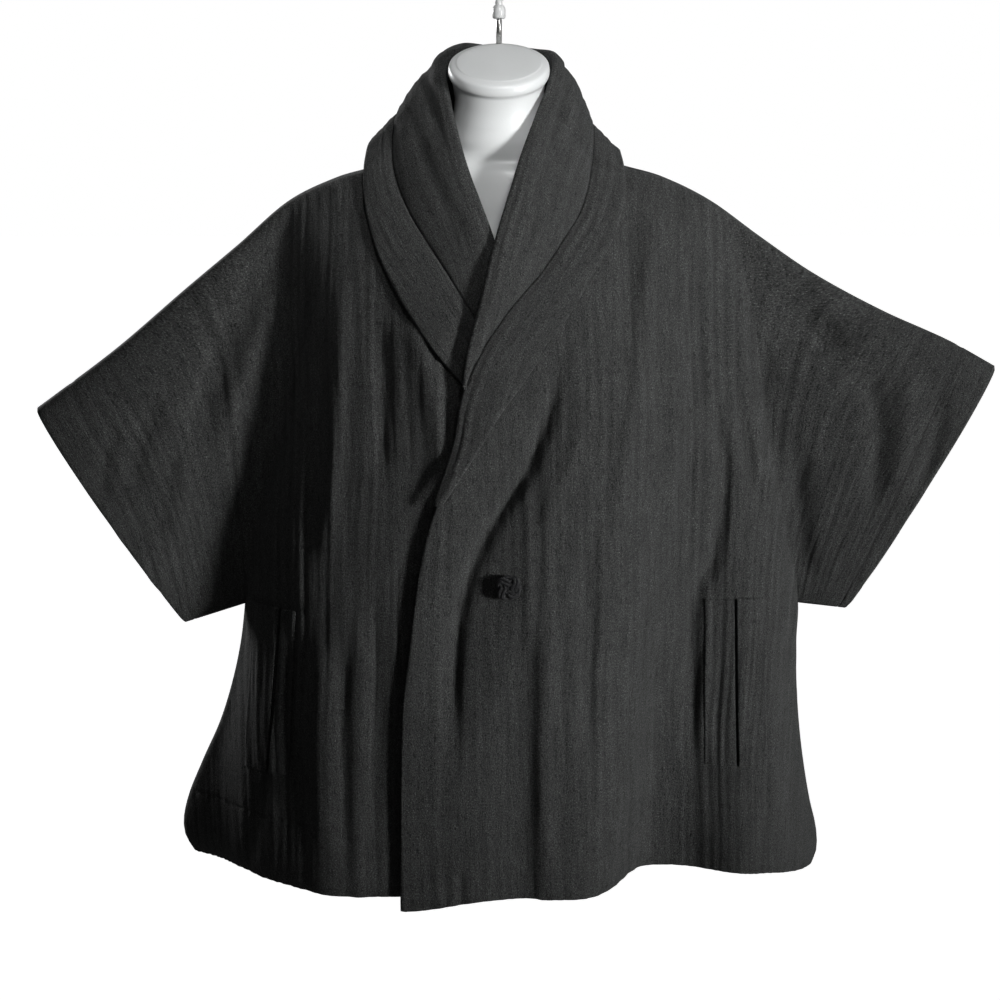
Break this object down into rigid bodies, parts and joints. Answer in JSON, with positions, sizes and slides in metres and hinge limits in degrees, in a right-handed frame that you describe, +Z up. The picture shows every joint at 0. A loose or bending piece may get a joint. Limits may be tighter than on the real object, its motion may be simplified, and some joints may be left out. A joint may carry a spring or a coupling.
{
  "type": "wool cape coat on a hanging torso form",
  "caption": "Wide cape coat with elbow sleeves cut in one, double shawl collar, knotted button and slit pockets, worn on a hanging torso form.",
  "frame": {"origin": "inside of the hook's bend, at its top, where a rail carries it", "axes": "+X towards the wearer's left, -Y out of the coat's front, +Z up"},
  "size_m": [0.9451, 0.3525, 0.909],
  "materials": {
    "wool": "matt brushed wool, charcoal with pale flecks",
    "button_cord": "black cord with a slight sheen",
    "form_plastic": "glossy white",
    "pin_metal": "satin"
  },
  "bodies": {
    "root": {"back": "wool", "front_left": "wool", "front_right": "wool", "collar_left": "wool", "collar_right": "wool", "collar_band_left": "wool", "collar_band_right": "wool", "welt_left_front": "wool", "welt_left_side": "wool", "welt_right_front": "wool", "welt_right_side": "wool", "button": "button_cord", "torso_form": "form_plastic", "neck_pin": "pin_metal", "hook_socket": "form_plastic", "hook": "form_plastic"}
  },
  "joints": []
}
